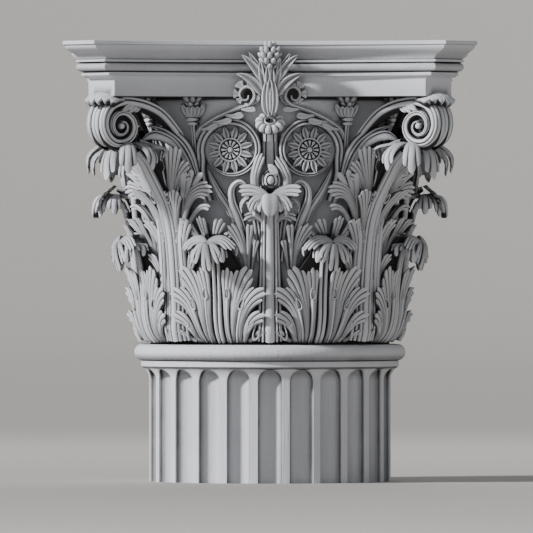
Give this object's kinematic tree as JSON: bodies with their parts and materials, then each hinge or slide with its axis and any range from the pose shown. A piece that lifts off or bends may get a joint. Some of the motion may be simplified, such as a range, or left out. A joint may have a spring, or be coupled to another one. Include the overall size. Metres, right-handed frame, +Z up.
{
  "type": "corinthian column",
  "caption": "Head of a classical stone column: Corinthian capital with acanthus leaves, corner volutes, rosettes and a moulded abacus, on the top of a fluted shaft, cut off flat below.",
  "frame": {"origin": "centre of the sawn foot of the shaft", "axes": "+Z up along the column's axis; the four sides of the abacus face -Y (the front), +X, +Y and -X"},
  "size_m": [1.008, 1.008, 1.08],
  "materials": {
    "capital_stone": "carved, matt",
    "shaft_stone": "dressed, matt"
  },
  "bodies": {
    "root": {"capital": "capital_stone", "fluted_shaft": "shaft_stone"}
  },
  "joints": []
}
